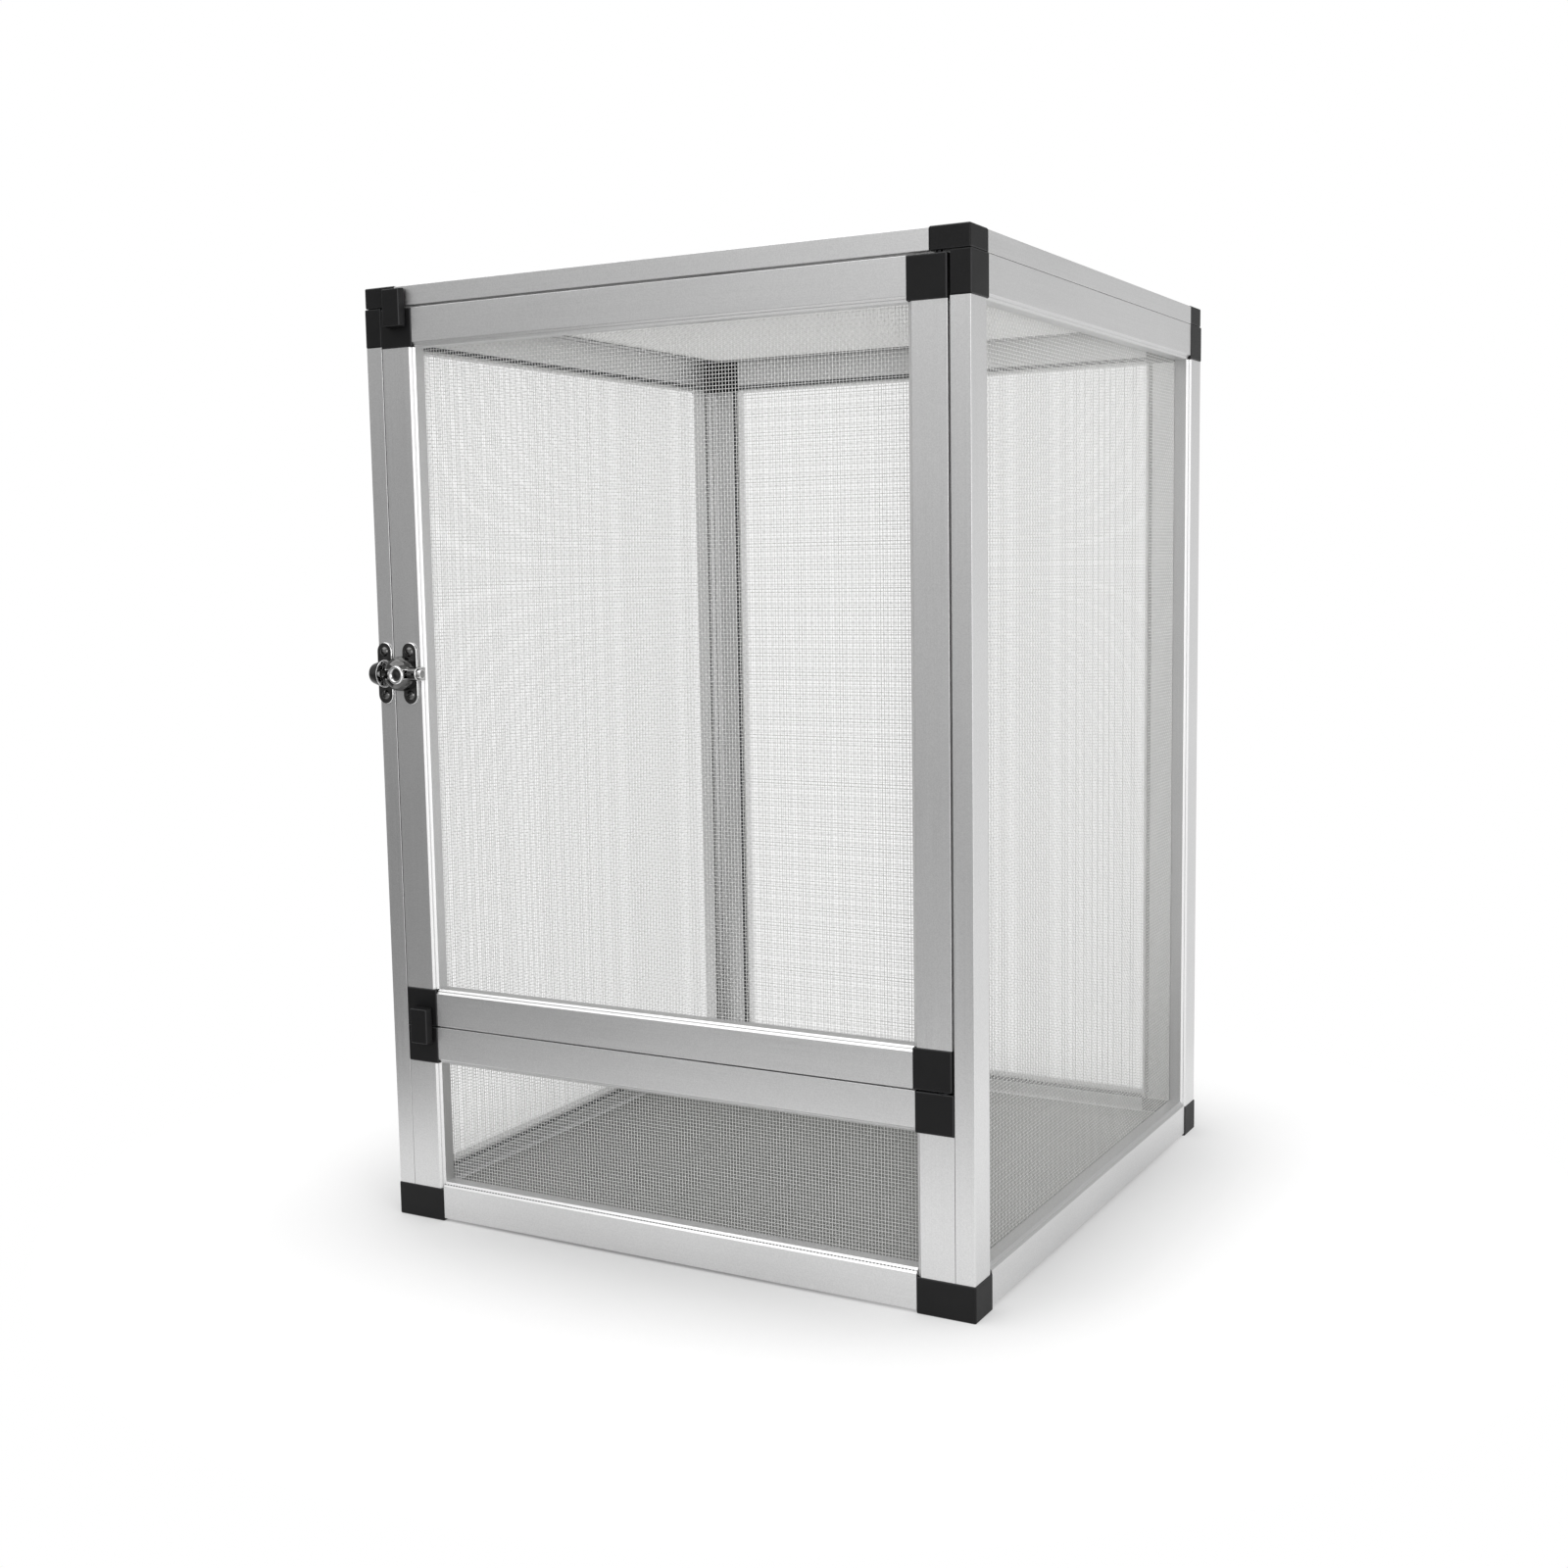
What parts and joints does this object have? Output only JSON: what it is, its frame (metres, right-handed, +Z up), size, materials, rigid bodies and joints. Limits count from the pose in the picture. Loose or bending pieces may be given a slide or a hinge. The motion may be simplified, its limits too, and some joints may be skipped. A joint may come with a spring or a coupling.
{
  "type": "mesh reptile cage",
  "caption": "Tall mesh reptile cage of bevelled aluminium rails and black corner connectors, with a fixed lower front panel, a hinged mesh door and a slide bolt.",
  "frame": {"origin": "on the ground, in the middle of the overall box, which includes the latch knob", "axes": "+Z up, the door and latch face -Y, +X towards the hinge side"},
  "size_m": [0.345, 0.36, 0.5],
  "materials": {
    "rail_aluminium": "satin natural",
    "connector_black": "fine-grained matte",
    "mesh_wire": "bright fine wire",
    "spline_rubber": "dull grey",
    "pin_steel": "plain turned",
    "latch_chrome": "bright plated"
  },
  "bodies": {
    "frame": {"top_front_rail": "rail_aluminium", "top_back_rail": "rail_aluminium", "top_left_rail": "rail_aluminium", "top_right_rail": "rail_aluminium", "left_bottom_rail": "rail_aluminium", "left_top_rail": "rail_aluminium", "left_back_post": "rail_aluminium", "left_front_post": "rail_aluminium", "right_bottom_rail": "rail_aluminium", "right_top_rail": "rail_aluminium", "right_front_post": "rail_aluminium", "right_back_post": "rail_aluminium", "back_bottom_rail": "rail_aluminium", "back_top_rail": "rail_aluminium", "back_right_post": "rail_aluminium", "back_left_post": "rail_aluminium", "lower_bottom_rail": "rail_aluminium", "lower_top_rail": "rail_aluminium", "lower_left_post": "rail_aluminium", "lower_right_post": "rail_aluminium", "floor_ledges": "rail_aluminium", "top_blocks": "connector_black", "left_blocks": "connector_black", "right_blocks": "connector_black", "back_blocks": "connector_black", "lower_blocks": "connector_black", "corner_feet": "connector_black", "top_mesh": "mesh_wire", "left_mesh": "mesh_wire", "right_mesh": "mesh_wire", "back_mesh": "mesh_wire", "lower_mesh": "mesh_wire", "floor_mesh": "mesh_wire", "top_spline": "spline_rubber", "left_spline": "spline_rubber", "right_spline": "spline_rubber", "back_spline": "spline_rubber", "lower_spline": "spline_rubber", "joining_pins": "pin_steel", "hinge_washer": "pin_steel", "latch_keeper": "latch_chrome", "keeper_screws": "latch_chrome"},
    "door": {"door_bottom_rail": "rail_aluminium", "door_top_rail": "rail_aluminium", "door_latch_post": "rail_aluminium", "door_hinge_post": "rail_aluminium", "door_stop_blocks": "connector_black", "door_pivot_blocks": "connector_black", "door_mesh": "mesh_wire", "door_spline": "spline_rubber", "hinge_pins": "pin_steel", "stop_tabs": "connector_black", "latch_barrel": "latch_chrome", "barrel_screws": "latch_chrome"},
    "bolt": {"latch_bolt": "latch_chrome"}
  },
  "joints": [
    {"name": "door_hinge", "type": "hinge", "parent": "frame", "child": "door", "pos_m": [0.1558, -0.1615, 0.3], "axis": [0, 0, 1], "range_deg": [0, 120]},
    {"name": "latch_slide", "type": "slide", "parent": "door", "child": "bolt", "axis": [-1, 0, 0], "range_m": [0, 0.0085]}
  ]
}
